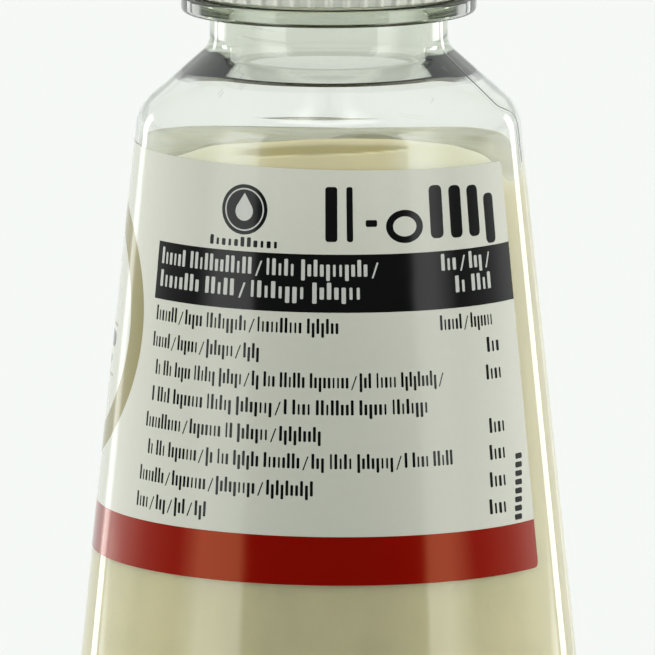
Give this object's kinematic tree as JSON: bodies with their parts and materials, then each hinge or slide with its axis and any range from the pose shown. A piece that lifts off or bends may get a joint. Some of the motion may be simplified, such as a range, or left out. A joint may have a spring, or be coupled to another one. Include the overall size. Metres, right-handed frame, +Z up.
{
  "type": "mayonnaise squeeze bottle",
  "caption": "Clear round squeeze bottle of mayonnaise with a long body cone, sloping shoulder, neck ring, wrap-round film label and ribbed screw cap.",
  "frame": {"origin": "centre of the ring the bottle stands on, at the bottom", "axes": "+Z up along the bottle's axis; -Y is the side with the printed table, and the label's bare strip is towards +X"},
  "size_m": [0.0924, 0.0924, 0.2304],
  "materials": {
    "clear_plastic": "clear glossy PET, smooth, with faint handling scuffs",
    "mayonnaise": "thick pale cream sauce, smooth and moist",
    "label_film": "white printed film with black, red and gold fields",
    "cap_plastic": "white moulded polypropylene, fine upright ribs"
  },
  "bodies": {
    "root": {"bottle": "clear_plastic", "mayonnaise": "mayonnaise", "label": "label_film", "cap": "cap_plastic"}
  },
  "joints": []
}
